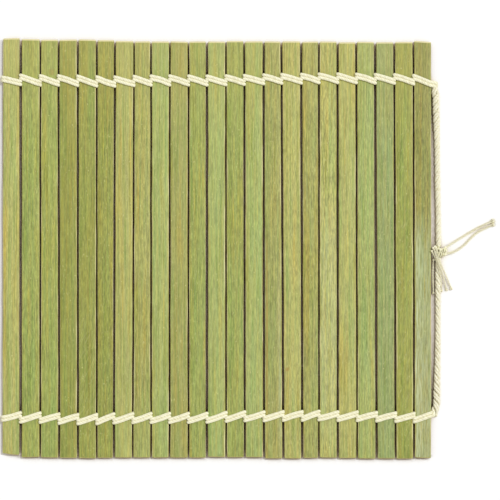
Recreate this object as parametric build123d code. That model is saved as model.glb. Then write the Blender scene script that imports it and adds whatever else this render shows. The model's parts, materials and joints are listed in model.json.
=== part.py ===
from build123d import *
import math
import os

# Sushi rolling mat: bamboo slats side by side, held by two rows of twined cotton twine.
# X runs across the slats, Y along them, and Z up from the table. The origin is on the table,
# under the middle of the mat. All sizes are millimetres, and angles are degrees.

# Slats
slat_count = 23
slat_length = 240.0
slat_width = 9.65
slat_thickness = 2.6
slat_crown = 0.25
slat_edge_round = 0.6
slat_gap = 1.1
slat_end_scatter = 1.3

# Twine stitches
row_from_end = 23.0
strand_diameter = 1.7
strand_spacing = 0.15
strand_bend_radius = 0.95
strand_seat_clearance = 0.06
strand_trim_clearance = 0.03
rest_flat_depth = 0.5
hinge_split = 0.16

# How far two neighbouring slats fold, and the roll that the whole mat makes
tightest_fold = 37.0
roll_core_radius = 16.2
roll_layer_pitch = 7.2

# Edge cords, knot and tails
edge_cord_diameter = 3.2
tail_strand_diameter = 1.8
short_tail_diameter = 1.5
frayed_strand_diameter = 1.5
join_clearance = 0.05
knot_length = 7.2
knot_core_diameter = 5.4
knot_wrap_diameter = 6.4
knot_wrap_strand = 1.7
knot_upper_lean = 14.0
knot_lower_lean = -8.0
knot_beside_edge = 4.7
knot_below_middle = 0.9

# Where the two wraps of the knot lie along it, as shares of their strand
knot_wrap_shares = [-0.5, 0.65]

# Hand-chosen values, taken in turn by the slats, as shares of slat_end_scatter, by which their ends
# stand out
far_end_shares = [
    0.8, 0.2, 0.6, 0.6, 0.2, 0.2, 0.2, 0.3, -0.2, -1.0, -0.3, -0.2,
    -0.1, -0.3, -0.2, 0.1, 0.2, -0.2, -0.6, -0.3, -0.2, -0.1, 0.1,
]
near_end_shares = [
    -2.0, -0.8, -0.3, 0.1, 0.8, 0.2, 0.1, 0.1, 0.2, -0.3, -0.3, -0.4,
    -0.3, 0.0, 0.1, 0.8, 0.2, 0.1, 0.2, 0.7, 0.8, 0.7, -0.8,
]

# Routes of the cords that lie free. X is counted from the outer edge of the last slat, Y from the
# middle of the mat and Z from the table. The first point of each edge cord is where its row ends.
upper_cord_route = [
    (2.4, 86.5, 2.2),
    (3.3, 76.0, 1.75),
    (3.5, 58.0, 1.65),
    (3.3, 38.0, 1.65),
    (4.0, 19.0, 1.65),
    (4.3, 2.45, 1.9),
]
lower_cord_route = [
    (2.6, -86.5, 2.2),
    (3.4, -77.0, 1.75),
    (3.2, -60.0, 1.65),
    (3.8, -41.0, 1.65),
    (3.9, -22.0, 1.65),
    (4.2, -4.25, 1.7),
]
long_tail_upper_route = [
    (8.0, 0.9, 3.2),
    (12.0, 4.2, 2.4),
    (16.6, 7.1, 1.4),
    (22.4, 10.6, 1.0),
    (28.2, 13.4, 0.95),
    (36.3, 16.4, 0.95),
]
long_tail_lower_route = [
    (8.0, -2.7, 2.6),
    (13.3, -2.8, 1.6),
    (18.3, -0.4, 1.0),
    (22.4, 3.1, 0.95),
    (25.4, 6.6, 0.95),
    (29.8, 10.6, 0.95),
    (36.0, 13.4, 0.95),
]
short_tail_route = [
    (1.4, -5.2, 1.6),
    (1.0, -11.0, 0.85),
    (1.05, -18.0, 0.8),
    (1.4, -25.0, 0.8),
]
frayed_tail_routes = [
    [(2.9, -4.4, 4.5), (4.3, -8.4, 4.6), (5.8, -12.6, 3.9), (6.4, -17.2, 2.0), (6.3, -22.6, 0.8)],
    [(4.6, -4.4, 4.9), (6.1, -8.3, 4.9), (7.7, -12.6, 3.4), (8.4, -17.4, 1.6), (9.0, -22.8, 0.8)],
    [(6.3, -4.2, 4.6), (7.9, -7.9, 4.2), (9.7, -12.1, 2.8), (10.9, -17.0, 1.4), (11.7, -22.4, 0.8)],
]

# Worked out from the sizes above
slat_pitch = slat_width + slat_gap
strand_radius = strand_diameter / 2
strand_step = strand_diameter + strand_spacing
slat_underside = strand_diameter + strand_seat_clearance - rest_flat_depth
slat_top = slat_underside + slat_thickness
hinge_height = slat_underside + slat_thickness / 2
top_strand_height = slat_top + strand_seat_clearance + strand_radius
under_strand_height = slat_underside - strand_seat_clearance - strand_radius
row_distance = slat_length / 2 - row_from_end
side_strand_offset = slat_width / 2 + strand_seat_clearance + strand_radius
outer_edge = (slat_count - 1) / 2 * slat_pitch + slat_width / 2
stitch_band = 6 * strand_step


def slat_centre(index):
    """X of the middle of a slat, counted from 0 at the left."""
    return (index - (slat_count - 1) / 2) * slat_pitch


def slat_profile(grown=0.0):
    """Cross-section of a slat in the XZ plane: flat underside, crowned skin side, rounded edges."""
    half = slat_width / 2 + grown
    low = slat_underside - grown
    high = slat_top + grown
    shoulder = high - slat_crown
    corners = Polyline((-half, shoulder), (-half, low), (half, low), (half, shoulder))
    skin = ThreePointArc((half, shoulder), (0, high), (-half, shoulder))
    outline = make_face(corners.edges() + skin.edges())
    rounded = fillet(outline.vertices(), slat_edge_round + grown)
    return Plane.XZ * rounded


def slat_solid(index):
    """One slat in place, with its own two end positions."""
    far_share = far_end_shares[index % len(far_end_shares)]
    near_share = near_end_shares[index % len(near_end_shares)]
    far_end = slat_length / 2 + far_share * slat_end_scatter
    near_end = slat_length / 2 + near_share * slat_end_scatter
    blank = extrude(slat_profile(), amount=(far_end + near_end) / 2, both=True)
    return Pos(slat_centre(index), (far_end - near_end) / 2, 0) * blank


def slat_block(grown):
    """A slat as long as the widest band of stitches, to cut the twine clear of the bamboo."""
    return extrude(slat_profile(grown), amount=stitch_band, both=True)


def beyond_fold(side, angle):
    """The space past a hinge line on one side, leaning over the slat by an angle."""
    edge = slat_pitch / 2 - hinge_split / 2
    beyond = Box(slat_pitch, 3 * stitch_band, 2 * slat_pitch)
    hinge = Pos(side * edge, 0, hinge_height)
    return hinge * Rot(0, angle, 0) * Pos(side * slat_pitch / 2, 0, 0) * beyond


def strand(points):
    """A round strand of twine along straight runs with bends of one radius."""
    path = FilletPolyline(*points, radius=strand_bend_radius)
    section = Plane(origin=path @ 0, z_dir=path % 0) * Circle(strand_radius)
    return sweep(section, path=path)


def gap_end(side, share, upper):
    """Where a strand ends in the gap on one side: beside the hinge line, and the bend above it."""
    x = side * slat_pitch / 2
    y = share * strand_step
    if upper:
        return (x, y, hinge_height + hinge_split / 2), (x, y, top_strand_height)
    return (x, y, hinge_height - hinge_split / 2), (x, y, under_strand_height)


def over_strand(share):
    """A strand over the top, from high on the left to low on the right."""
    tip_left, bend_left = gap_end(-1, share, True)
    tip_right, bend_right = gap_end(1, share - 2, True)
    return strand([tip_left, bend_left, bend_right, tip_right])


def under_strand(share):
    """A strand underneath, from low on the left to high on the right."""
    tip_left, bend_left = gap_end(-1, share - 2, False)
    tip_right, bend_right = gap_end(1, share, False)
    return strand([tip_left, bend_left, bend_right, tip_right])


def first_loop(share):
    """A strand of the fold round the left edge of the first slat."""
    side_y = (share - 1) * strand_step
    tip_over, bend_over = gap_end(1, share - 2, True)
    tip_under, bend_under = gap_end(1, share, False)
    turn_over = (-side_strand_offset, side_y, top_strand_height)
    turn_under = (-side_strand_offset, side_y, under_strand_height)
    return strand([tip_over, bend_over, turn_over, turn_under, bend_under, tip_under])


def last_loop(share):
    """A strand that comes over the last slat and back under it, round its right edge."""
    side_y = (share - 2) * strand_step
    tip_over, bend_over = gap_end(-1, share, True)
    tip_under, bend_under = gap_end(-1, share - 2, False)
    turn_over = (side_strand_offset, side_y, top_strand_height)
    turn_under = (side_strand_offset, side_y, under_strand_height)
    return strand([tip_over, bend_over, turn_over, turn_under, bend_under, tip_under])


def cutters(sides):
    """What a strand stays clear of: its slat, all that its neighbours may fold into, and the table."""
    blocks = [slat_block(strand_trim_clearance)]
    for side in sides:
        for angle in (tightest_fold / 2, -tightest_fold / 2):
            blocks.append(beyond_fold(side, angle))
    table = Box(3 * slat_pitch, 3 * stitch_band, strand_diameter)
    blocks.append(Pos(0, 0, -strand_diameter / 2) * table)
    return blocks


def both_rows(strands):
    """The strands of the upper row, and the same mirrored for the lower row."""
    upper = [Pos(0, row_distance, 0) * s for s in strands]
    return upper + [mirror(s, about=Plane.XZ) for s in upper]


def trimmed(strands, blocks):
    """Each strand cut clear of the blocks, as its largest piece."""
    kept = []
    for s in strands:
        left = s.cut(*blocks)
        kept.append(max(left.solids(), key=lambda piece: piece.volume))
    return kept


def route_radii(points):
    """The largest bend that the two runs beside each point allow."""
    radii = []
    for a, b, c in zip(points, points[1:], points[2:]):
        before = Vector(*b) - Vector(*a)
        after = Vector(*c) - Vector(*b)
        half_turn = math.radians(before.get_angle(after)) / 2
        shorter = min(before.length, after.length)
        radii.append(0.45 * shorter / math.tan(half_turn))
    return radii


def cord_tube(name, points, diameter):
    """A round cord along a route, printed with its bends, its length and its volume ratio."""
    radii = route_radii(points)
    path = FilletPolyline(*points, radius=radii)
    section = Plane(origin=path @ 0, z_dir=path % 0) * Circle(diameter / 2)
    tube = sweep(section, path=path)
    ratio = tube.volume / (math.pi * diameter ** 2 / 4 * path.length)
    listed = ", ".join(f"{r:.1f}" for r in radii)
    print(f"{name}: bends {listed}; length {path.length:.1f}; volume ratio {ratio:.4f}")
    return tube.solid()


def knot_solid():
    """The knot: a round core with strands wrapped round it, lying beside the last slat."""
    core = Sphere(knot_core_diameter / 2)
    stretched = scale(core, by=(knot_length / knot_core_diameter, 1, 1))
    ring = Torus((knot_wrap_diameter - knot_wrap_strand) / 2, knot_wrap_strand / 2)
    across = Rot(0, 90, 0) * ring
    shape = stretched
    for share, lean in zip(knot_wrap_shares, (knot_upper_lean, knot_lower_lean)):
        shape += Pos(share * knot_wrap_strand, 0, 0) * Rot(0, 0, lean) * across
    height = knot_wrap_diameter / 2 + join_clearance
    return (Pos(outer_edge + knot_beside_edge, -knot_below_middle, height) * shape).solid()


def from_edge(points):
    """Route points with X counted from the outer edge of the last slat."""
    return [(outer_edge + x, y, z) for x, y, z in points]


def edge_cord(name, points, side):
    """An edge cord from the end of its row of stitches to the knot."""
    start_y = row_distance - 1.5 * strand_step - strand_radius - join_clearance
    start = (edge_cord_diameter / 2 + join_clearance, side * start_y, hinge_height)
    return cord_tube(name, from_edge([start] + points), edge_cord_diameter)


def write(name, shape):
    """One STEP file for one piece."""
    export_step(shape, f"parts/{name}.step")


def hinge_angles():
    """How far each hinge folds when the mat is rolled up on itself from the left."""
    angles = []
    growth = roll_layer_pitch / (2 * math.pi)
    for index in range(slat_count - 1):
        along = index * slat_pitch
        radius = math.sqrt(roll_core_radius ** 2 + 2 * growth * along)
        angles.append(2 * math.degrees(math.atan(slat_pitch / 2 / radius)))
    return angles


def main():
    os.makedirs("parts", exist_ok=True)
    crossing = [f(share) for share in (0.5, 1.5) for f in (over_strand, under_strand)]
    middle = trimmed(crossing, cutters((-1, 1)))
    first = trimmed([first_loop(0.5), first_loop(1.5)], cutters((1,)))
    last = trimmed([last_loop(0.5), last_loop(1.5)], cutters((-1,)))
    for index in range(slat_count):
        strands = middle
        if index == 0:
            strands = first
        elif index == slat_count - 1:
            strands = last
        write(f"slat_{index + 1:02d}", slat_solid(index))
        placed = [Pos(slat_centre(index), 0, 0) * s for s in both_rows(strands)]
        write(f"stitches_{index + 1:02d}", Compound(children=placed))
    write("edge_cord_upper", edge_cord("edge_cord_upper", upper_cord_route, 1))
    write("edge_cord_lower", edge_cord("edge_cord_lower", lower_cord_route, -1))
    write("knot", knot_solid())
    for name, route in (
        ("long_tail_upper", long_tail_upper_route),
        ("long_tail_lower", long_tail_lower_route),
    ):
        write(name, cord_tube(name, from_edge(route), tail_strand_diameter))
    write("short_tail", cord_tube("short_tail", from_edge(short_tail_route), short_tail_diameter))
    ends = [cord_tube("frayed_tail", from_edge(r), frayed_strand_diameter) for r in frayed_tail_routes]
    write("frayed_tail", Compound(children=ends))
    print("hinge folds:", ", ".join(f"{a:.1f}" for a in hinge_angles()))


main()
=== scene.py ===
import json
import math

import bpy
import numpy as np
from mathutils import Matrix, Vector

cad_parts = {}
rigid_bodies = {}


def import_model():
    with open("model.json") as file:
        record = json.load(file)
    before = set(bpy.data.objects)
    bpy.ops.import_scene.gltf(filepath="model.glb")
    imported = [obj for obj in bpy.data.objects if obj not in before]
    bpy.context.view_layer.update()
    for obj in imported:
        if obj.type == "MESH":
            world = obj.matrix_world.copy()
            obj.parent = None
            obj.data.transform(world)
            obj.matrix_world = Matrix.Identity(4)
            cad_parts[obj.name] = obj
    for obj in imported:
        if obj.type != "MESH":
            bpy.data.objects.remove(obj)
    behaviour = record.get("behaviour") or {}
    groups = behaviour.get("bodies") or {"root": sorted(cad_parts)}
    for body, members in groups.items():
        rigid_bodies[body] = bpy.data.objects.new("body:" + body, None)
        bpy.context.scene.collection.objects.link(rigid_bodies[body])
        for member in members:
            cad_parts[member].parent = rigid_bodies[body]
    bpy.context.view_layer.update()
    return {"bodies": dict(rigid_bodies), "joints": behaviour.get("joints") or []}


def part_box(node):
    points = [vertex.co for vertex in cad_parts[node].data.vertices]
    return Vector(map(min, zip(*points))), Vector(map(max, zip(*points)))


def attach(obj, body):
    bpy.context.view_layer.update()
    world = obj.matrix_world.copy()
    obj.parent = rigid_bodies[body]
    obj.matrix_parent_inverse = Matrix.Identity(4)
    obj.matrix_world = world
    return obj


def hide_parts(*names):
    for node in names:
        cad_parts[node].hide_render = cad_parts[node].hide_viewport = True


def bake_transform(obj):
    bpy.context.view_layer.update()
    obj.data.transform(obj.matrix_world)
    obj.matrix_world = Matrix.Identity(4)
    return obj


# The looks of a bamboo sushi rolling mat. Sizes here are millimetres, in the frame of the CAD model:
# X runs across the slats, Y along them and Z up from the table. They become metres in mesh_piece.
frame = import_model()
MM = 0.001

# Sizes that the scene shares with the frame
slat_count = len(frame["bodies"])
hinges = [frame["joints"][i]["pos_m"] for i in range(slat_count - 1)]
hinge_x = [h[0] / MM for h in hinges]
hinge_height = hinges[0][2] / MM
pitch = hinge_x[1] - hinge_x[0]
first_low, first_high = (np.array(corner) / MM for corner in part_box("slat_01"))
slat_width = first_high[0] - first_low[0]
slat_underside = first_low[2]
slat_top = first_high[2]
outer_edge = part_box(f"slat_{slat_count:02d}")[1][0] / MM
last_body = f"strip_{slat_count:02d}"

# Twine: four strands side by side in each gap, where two pairs cross
row_distance = 97.0
row_names = ("upper", "lower")
row_sides = (1, -1)
lane = 1.85
inner_lane = 1.4
inner_lane_change = 0.28
upper_row_shift = 0.3
pair_shares = (0.5, 1.5)
strand_radius = 0.9
strand_flatness = (1.09, 0.9)
ply_depth = 0.12
ply_lead = 5.2
gap_reach = 0.34
contact = 0.03
first_edge_shift = 0.7
last_edge_shift = -0.4
strand_top = slat_top + 0.8
strand_low = slat_underside / 2
wander_reach = 0.16
fold_reach = 2.4
twine_step = 0.24
crown = 0.25
slat_round = 0.5
# A strand's way through a gap: places from the hinge, sinks over the first slat, heights in the gap, and
# how much of its sideways way it has made over and under the slats
bend_share = 0.62
beside_reach = 0.9
crossing_reach = 0.05
strand_sinks = (0.0, 0.04, 0.08, 0.15)
crossing_heights = (3.3, 1.9)
over_shares = (0.0, 0.42, 0.88)
under_shares = (0.86, 0.42, 0.0)

# Camera: straight above, so high that the photograph's 500 pixels span 287.75 mm of the mat
camera_height = 1500.0
view_width = 287.75
view_centre_x = 18.85

# Lamps: azimuth from the right and elevation in degrees, and strength, then how wide they look in degrees
lamps = {
    "key_right": (19, 50, 0.86),
    "key_far": (46, 64, 0.96),
}
lamp_angle = 4.0

# Edge cords and tails
rope_diameter = 3.2
rope_strand_radius = 0.72
rope_lead = 9.8
rope_pair_angle = 1.15
rope_spread = 0.65
rope_spread_length = 26.0
tail_ply_radius = 0.66
tail_lead = 5.0
short_tail_ply_radius = 0.4
short_tail_lead = 3.8
frayed_strand_radius = 0.46
frayed_strand_lead = 4.2
# Steps between the points of the lines that strands follow
rope_step = 0.34
knot_step = 0.26
# How a tail ends: the length that opens, the length darkened by painted shade at its tip and the longest of
# its hairs
long_tail_end = {"splay": 2.2, "tip_shade": 0.0, "hair": 2.3}
short_tail_end = {"splay": 1.0, "tip_shade": 0.5, "hair": 1.0}
frayed_strand_end = {"splay": 1.6, "tip_shade": 0.5, "hair": 1.2}
# How strands are twisted and drawn, and the count, length and thickness of their loose hairs
rope_strand = {"lead": 4.0, "depth": 0.14, "sides": 12, "closed": True}
rope_core = rope_strand | {"depth": 0.1}
tail_ply = {"lead": 2.6, "depth": 0.1, "sides": 12, "closed": True, "tips": 0.5}
knot_turn = {"lead": 3.6, "depth": 0.14, "sides": 14, "closed": True, "tips": 0.8}
knot_run = knot_turn | {"depth": 0.12, "tips": 0.7}
rope_hairs = (34, 2.4, 0.03)
tail_hairs = (10, 1.8, 0.03)
knot_hairs = (40, 1.6, 0.03)
tuft_count = 18
tuft_thickness = 0.032
stitch_hair_size = (2.0, 0.028)
# The knot's outer turns: a leaning helix's start from the outer edge, its travel and its reach
knot_turns = 3.1
knot_first_angle = 0.4
knot_start = (4.6, -1.5, 3.3)
knot_travel = (3.5, -0.5, 0.0)
knot_reach = (0.8, 2.3, 2.1)
knot_strand_radius = 0.9
knot_run_radius = 1.0

# Routes of the free cords, as in the CAD model: X from the outer edge of the last slat
upper_cord_route = [
    (2.9, 90.0, 2.4),
    (2.9, 83.0, 2.1),
    (3.2, 74.0, 1.75),
    (3.7, 58.0, 1.65),
    (3.8, 38.0, 1.65),
    (4.3, 19.0, 1.65),
    (4.4, 2.45, 1.9),
]
lower_cord_route = [
    (3.4, -90.5, 2.4),
    (3.4, -83.5, 2.1),
    (3.6, -75.0, 1.75),
    (4.0, -60.0, 1.65),
    (4.1, -41.0, 1.65),
    (4.1, -22.0, 1.65),
    (4.3, -4.25, 1.7),
]
cord_start = (1.65, 93.325, hinge_height)
long_tail_upper_route = [
    (8.0, 1.0, 3.2),
    (11.8, 3.6, 2.4),
    (16.4, 6.4, 1.4),
    (22.2, 10.0, 1.05),
    (28.2, 13.4, 1.0),
    (36.3, 17.0, 1.0),
]
long_tail_lower_route = [
    (8.0, -2.2, 2.6),
    (12.2, -1.7, 1.7),
    (16.2, 0.4, 1.05),
    (19.6, 3.0, 1.0),
    (22.8, 6.5, 1.0),
    (26.2, 9.8, 1.0),
    (31.0, 12.5, 1.0),
    (36.4, 14.8, 1.0),
]
short_tail_route = [
    (1.5, -5.2, 2.3),
    (1.1, -11.0, 2.2),
    (1.15, -18.0, 1.9),
    (1.5, -25.2, 1.1),
]
# The frayed tail's three strands come over the slat's edge and through the knot as one bundle
frayed_strand_routes = [
    [
        (0.1, -0.2, 4.6), (1.1, -1.8, 5.0), (2.0, -3.8, 4.9), (3.0, -6.1, 4.5),
        (4.2, -9.1, 4.2), (5.3, -13.6, 3.6), (6.0, -18.4, 2.0), (6.1, -23.8, 0.8),
    ],
    [
        (0.9, 1.5, 5.0), (1.9, -0.3, 5.9), (2.7, -3.0, 6.0), (3.6, -5.6, 5.6),
        (4.8, -8.8, 5.1), (6.3, -12.8, 4.0), (7.8, -17.8, 1.9), (9.3, -23.3, 0.75),
    ],
    [
        (1.9, 2.4, 4.0), (3.0, 0.7, 5.0), (3.6, -2.0, 5.2), (4.4, -4.9, 4.7),
        (5.6, -8.2, 4.2), (7.5, -12.4, 3.0), (9.8, -17.2, 1.5), (12.0, -22.8, 0.75),
    ],
]

# Runs inside the knot, which its outer turns go round
knot_runs = [
    [(2.0, 0.9, 2.2), (4.2, 0.6, 3.2), (6.4, 0.3, 3.9), (8.6, 1.2, 3.2)],
    [(2.0, -1.2, 2.0), (4.4, -1.6, 2.6), (6.6, -2.0, 3.4), (8.7, -2.75, 2.6)],
    [(4.4, 2.9, 1.9), (4.7, 0.8, 2.6), (5.2, -1.2, 4.2), (6.8, -3.2, 3.2)],
    [(4.3, -4.6, 1.7), (4.5, -2.8, 2.0), (5.4, -0.8, 2.4), (7.2, 0.8, 2.2)],
    [(3.6, 0.4, 2.4), (5.0, 0.9, 1.8), (7.0, 0.4, 1.6), (8.8, -0.9, 2.4)],
    [(2.4, 1.9, 2.4), (3.5, 0.6, 3.5), (4.1, -1.5, 3.6), (4.7, -3.6, 2.7)],
]

# Tones of the bamboo skin, and the tone and shade of each slat
tones = {
    "straw": (184, 184, 110),
    "leaf": (163, 172, 93),
    "olive": (157, 161, 80),
    "pale": (174, 184, 111),
    "tan": (170, 171, 99),
    "blue": (160, 171, 109),
    "dark": (152, 151, 83),
}
slat_tones = [
    "straw", "leaf", "leaf", "olive", "olive", "olive", "straw", "tan", "pale", "tan", "leaf", "pale",
    "leaf", "pale", "tan", "straw", "tan", "straw", "straw", "pale", "blue", "olive", "dark",
]
slat_shades = [
    1.0, 1.0, 1.02, 0.98, 0.99, 0.99, 0.96, 1.03, 1.0, 0.99, 1.0, 0.98,
    0.98, 1.0, 0.97, 1.0, 1.0, 1.01, 1.0, 0.97, 1.0, 1.05, 1.0,
]
# How wide the pale bevel is on the left and right edge of each slat, as a share of the widest
left_bevel_shares = [
    0.3, 0.1, 0.5, 0.2, 0.1, 0.3, 0.1, 0.6, 0.4, 0.2, 0.6, 0.2,
    0.5, 0.4, 0.2, 0.2, 0.3, 0.9, 0.3, 0.4, 0.1, 1.0, 0.8,
]
right_bevel_shares = [
    0.2, 0.5, 0.3, 0.7, 0.4, 0.2, 0.3, 0.6, 0.7, 0.3, 0.1, 0.8,
    0.1, 0.6, 0.7, 0.6, 0.1, 0.1, 0.4, 0.2, 0.1, 0.9, 0.3,
]
widest_bevel = 0.5
# How far the saw cut leans across each slat, as a share of the most, at the far and the near end
far_lean_shares = [
    0.4, -0.2, 0.1, 0.3, -0.3, 0.1, -0.1, 0.2, 0.0, -0.5, 0.2, -0.1,
    0.1, 0.2, -0.2, 0.0, 0.3, -0.1, 0.1, -0.2, 0.1, 0.0, -1.0,
]
near_lean_shares = [
    1.0, -0.3, 0.2, 0.0, 0.3, -0.1, 0.1, 0.0, -0.2, 0.1, 0.0, 0.2,
    -0.1, 0.1, 0.0, 0.2, -0.1, 0.1, 0.0, 0.2, 0.1, -0.1, 0.6,
]
most_lean = 0.7
# How far each slat's far and near end stands beyond its CAD slat
far_end_extras = [
    1.0, 1.2, 0.3, 0.4, 1.0, 0.6, 0.1, -0.2, 0.3, 1.5, 0.5, 0.3,
    0.5, 0.6, 0.4, 0.0, -0.2, 0.3, 0.4, 0.3, -0.1, -0.1, 0.3,
]
near_end_extras = [
    0.6, 0.4, -0.1, -0.5, -1.1, -0.6, -0.6, -0.7, -0.7, -0.1, -0.1, -0.3,
    -0.3, -0.7, -0.2, -1.0, -0.6, -0.6, -0.5, -0.8, -1.0, -0.8, 0.9,
]
# How far the middle of each gap is moved to the right at the far and the near row, and how much wider it is
far_gap_shifts = [
    -0.3, 0.3, 0.0, 0.3, 0.5, 0.1, 0.4, -0.5, -0.5, -0.4, -0.6,
    -0.4, -0.6, -0.2, -0.6, 0.0, -0.6, -0.6, -0.6, -0.5, -0.2, 0.1,
]
near_gap_shifts = [
    -0.4, 0.2, 0.3, 0.4, 0.5, -0.4, -0.2, -0.5, -0.6, -0.5, -0.6,
    -0.3, -0.3, 0.0, 0.3, 0.5, -0.6, -0.5, -0.1, 0.3, 0.5, 0.4,
]
gap_widenings = [
    0.4, -0.15, 0.0, 0.1, -0.1, 0.1, -0.15, -0.1, -0.15, -0.1, 0.3,
    -0.15, 0.1, 0.1, 0.1, 0.2, -0.1, 0.15, -0.1, 0.35, 0.0, -0.1,
]
# How far the first slat's left edge is moved to the right at the far and the near row
first_edge_moves = (-0.2, -0.45)
# The rows wander along the slats: a slat's number and how far a row lies there beyond its CAD row,
# towards the far end, for the upper row and for the lower one
row_drifts = (
    [(1, 0.5), (4, 0.4), (6, -0.4), (9, 0.4), (12, 0.2), (16, 1.4), (20, 1.4), (22, 1.0), (23, 0.4)],
    [(1, 0.6), (2, 0.7), (5, -0.6), (7, 0.2), (11, 0.3), (13, 1.1), (17, 1.7), (21, 1.1), (23, 0.2)],
)
# All tones are darkened by this factor, because the lamps make them brighter
tone_level = 0.9
# The sawn ends: where rings of points lie from the end, how far they are drawn in, and how deep the lean goes
end_rings = np.array([0.0, 0.12, 0.35, 0.8, 1.8, 3.2])
end_insets = np.array([0.3, 0.14, 0.03, 0.0, 0.0, 0.0])
inset_depth = 1.4
lean_length = 6.0
body_margin = 5.5
body_rings = 96
sawn_rings = 2
# The chipped corner at the near end of the first slat
chip_depth = 0.4
chip_length = 3.2
chip_from_middle = 1.5
chip_width = 3.3
# Brown marks: a slat's number, how strong, the middle and the size, across the slat as shares and along it
brown_marks = {
    2: (0.42, (0.0, -91.0), (0.75, 7.0)),
    3: (0.55, (0.3, 102.5), (0.6, 3.2)),
    16: (1.0, (-0.59, -68.8), (0.24, 2.2)),
}


def linear(rgb):
    """A display colour of 0 to 255 as the linear colour that shaders take."""
    shares = np.array(rgb) / 255
    return np.where(shares <= 0.04045, shares / 12.92, ((shares + 0.055) / 1.055) ** 2.4)


def seeded(*key):
    """A random generator that gives the same numbers for the same key on each run."""
    return np.random.default_rng([int(k) for k in key])


def smooth_noise(rng, places, spacing):
    """A slow random curve between -1 and 1, read at these places."""
    low = places.min() - spacing
    knots = rng.uniform(-1, 1, int((places.max() - low) / spacing) + 4)
    at = (places - low) / spacing
    index = at.astype(int)
    t = at - index
    t = t * t * (3 - 2 * t)
    return knots[index] * (1 - t) + knots[index + 1] * t


# Materials
class Shader:
    """A material's node tree, with short calls for the nodes that the materials here use."""

    def __init__(self, name):
        self.material = bpy.data.materials.new(name)
        self.material.use_nodes = True
        self.tree = self.material.node_tree
        self.surface = self.tree.nodes["Principled BSDF"]

    def node(self, kind, inputs=(), **settings):
        made = self.tree.nodes.new(kind)
        for key, value in settings.items():
            setattr(made, key, value)
        for socket, value in dict(inputs).items():
            self.set(made.inputs[socket], value)
        return made

    def set(self, socket, value):
        if isinstance(value, bpy.types.NodeSocket):
            self.tree.links.new(value, socket)
        else:
            socket.default_value = value

    def attribute(self, name, output):
        return self.node("ShaderNodeAttribute", attribute_name=name).outputs[output]

    def place(self):
        return self.node("ShaderNodeTexCoord").outputs["Object"]

    def parts(self, vector):
        return self.node("ShaderNodeSeparateXYZ", {0: vector}).outputs

    def scaled(self, vector, by, offset=(0, 0, 0)):
        made = self.node("ShaderNodeVectorMath", {0: vector, 1: by, 2: offset}, operation="MULTIPLY_ADD")
        return made.outputs[0]

    def noise(self, vector, by, offset=(0, 0, 0), detail=3.0, roughness=0.55):
        at = self.scaled(vector, by, offset)
        inputs = {"Vector": at, "Scale": 1.0, "Detail": detail, "Roughness": roughness}
        return self.node("ShaderNodeTexNoise", inputs).outputs["Fac"]

    def math(self, operation, a, b=0.0):
        return self.node("ShaderNodeMath", {0: a, 1: b}, operation=operation).outputs[0]

    def span(self, value, low, high, to_low=0.0, to_high=1.0):
        """A value's place between two limits, held inside them and eased at both."""
        inputs = {"Value": value, "From Min": low, "From Max": high, "To Min": to_low, "To Max": to_high}
        return self.node("ShaderNodeMapRange", inputs, interpolation_type="SMOOTHSTEP").outputs[0]

    def mix(self, share, a, b, blend="MIX"):
        made = self.node("ShaderNodeMix", {0: share}, data_type="RGBA", blend_type=blend)
        for socket, value in ((made.inputs[6], a), (made.inputs[7], b)):
            self.set(socket, value if isinstance(value, bpy.types.NodeSocket) else (*linear(value), 1))
        return made.outputs[2]

    def layers(self, colour, blend, *layers):
        """Layers over a colour: a pattern, its limits from none to full, how strong it is, and its colour."""
        for pattern, low, high, strength, over in layers:
            colour = self.mix(self.span(pattern, low, high, 0, strength), colour, over, blend)
        return colour

    def brighter(self, colour, factor):
        grey = self.node("ShaderNodeCombineXYZ", {0: factor, 1: factor, 2: factor}).outputs[0]
        return self.mix(1.0, colour, grey, "MULTIPLY")

    def bump(self, height, distance, strength):
        made = self.node("ShaderNodeBump", {"Height": height, "Distance": distance, "Strength": strength})
        return made.outputs[0]

    def finish(self, colour, roughness, normal, specular):
        looks = {"Base Color": colour, "Roughness": roughness, "Normal": normal}
        for name, value in (looks | {"Specular IOR Level": specular}).items():
            self.set(self.surface.inputs[name], value)
        return self.material


def bamboo_coordinates(shader):
    """Object coordinates in millimetres, moved by each slat's own offset."""
    return shader.scaled(shader.place(), (1000, 1000, 1000), shader.attribute("slat_seed", "Vector"))


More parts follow.
